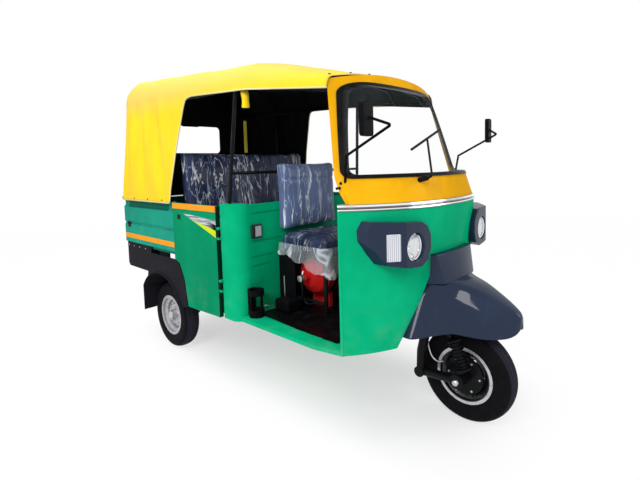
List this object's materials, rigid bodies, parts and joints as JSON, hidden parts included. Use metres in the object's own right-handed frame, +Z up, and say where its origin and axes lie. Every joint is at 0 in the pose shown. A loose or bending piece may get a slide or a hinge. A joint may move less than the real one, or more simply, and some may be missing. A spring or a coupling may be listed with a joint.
{
  "type": "auto rickshaw",
  "caption": "Three-wheeled auto rickshaw with a canvas hood, open cab, passenger bench with half doors and a small load bed.",
  "frame": {"origin": "on the ground below the middle of the vehicle", "axes": "+X forward, +Y to the vehicle left, +Z up"},
  "size_m": [2.874, 1.3166, 2.0258],
  "materials": {
    "green_paint": "gloss",
    "teal_paint": "gloss",
    "yellow_paint": "gloss",
    "canvas": "matte",
    "black_plastic": "matte",
    "slate_plastic": "satin",
    "black_steel": "satin",
    "black_rubber": "matte",
    "tyre": "matte",
    "silver_rim": "satin",
    "chrome": "polished",
    "glass": "clear",
    "lens": "clear",
    "vinyl": "satin",
    "red_paint": "gloss",
    "cast_metal": "rough"
  },
  "bodies": {
    "body": {"chassis_frame": "black_steel", "rear_axle": "black_steel", "rear_springs": "black_steel", "engine_block": "cast_metal", "exhaust": "black_steel", "floor_pan": "green_paint", "load_deck": "teal_paint", "partition": "green_paint", "corner_pillars": "green_paint", "wheel_arches": "black_plastic", "bed_sides": "teal_paint", "rear_skirts": "black_plastic", "marker_lamps": "lens", "front_cowl": "green_paint", "upper_cowl": "yellow_paint", "chrome_strips": "chrome", "windscreen_rubber": "black_rubber", "windscreen_glass": "glass", "nose_trim": "slate_plastic", "headlamp_bezels": "slate_plastic", "headlamps": "lens", "signal_lamps": "lens", "front_mudguard": "slate_plastic", "wiper": "black_steel", "mirrors": "black_plastic", "dashboard": "black_plastic", "driver_seat_frame": "black_steel", "driver_seat_cushion": "vinyl", "driver_seat_back": "vinyl", "gas_cylinder": "red_paint", "battery_box": "black_plastic", "pedals": "black_steel", "bottle_holder": "black_plastic", "passenger_seat_base": "black_steel", "passenger_seat_cushion": "vinyl", "passenger_seat_back": "vinyl", "bench_frame": "black_steel", "canvas_hood": "canvas", "hood_frame": "black_steel", "hood_posts": "black_steel"},
    "tailgate": {"tailgate": "teal_paint"},
    "left_door": {"left_door": "green_paint"},
    "right_door": {"right_door": "green_paint"},
    "steering": {"steering_fork": "silver_rim", "handlebar": "black_steel", "leading_link": "black_steel", "front_spring": "black_steel"},
    "front_wheel": {"front_tyre": "tyre", "front_rim": "black_steel"},
    "rear_left_wheel": {"rear_left_tyre": "tyre", "rear_left_rim": "silver_rim"},
    "rear_right_wheel": {"rear_right_tyre": "tyre", "rear_right_rim": "silver_rim"}
  },
  "joints": [
    {"name": "steering_turn", "type": "hinge", "parent": "body", "child": "steering", "pos_m": [0.99481, 0, 0.63], "axis": [-0.3746, 0, 0.9272], "range_deg": [-35, 35]},
    {"name": "front_wheel_spin", "type": "hinge", "parent": "steering", "child": "front_wheel", "pos_m": [1.18, 0, 0.236], "axis": [0, 1, 0], "continuous": true},
    {"name": "rear_left_wheel_spin", "type": "hinge", "parent": "body", "child": "rear_left_wheel", "pos_m": [-0.82, 0.521, 0.236], "axis": [0, 1, 0], "continuous": true},
    {"name": "rear_right_wheel_spin", "type": "hinge", "parent": "body", "child": "rear_right_wheel", "pos_m": [-0.82, -0.521, 0.236], "axis": [0, 1, 0], "continuous": true},
    {"name": "left_door_swing", "type": "hinge", "parent": "body", "child": "left_door", "pos_m": [-0.05, 0.635, 0.75], "axis": [0, 0, -1], "range_deg": [0, 75]},
    {"name": "right_door_swing", "type": "hinge", "parent": "body", "child": "right_door", "pos_m": [-0.05, -0.635, 0.75], "axis": [0, 0, 1], "range_deg": [0, 75]},
    {"name": "tailgate_drop", "type": "hinge", "parent": "body", "child": "tailgate", "pos_m": [-1.398, 0, 0.754], "axis": [0, -1, 0], "range_deg": [0, 95]}
  ]
}
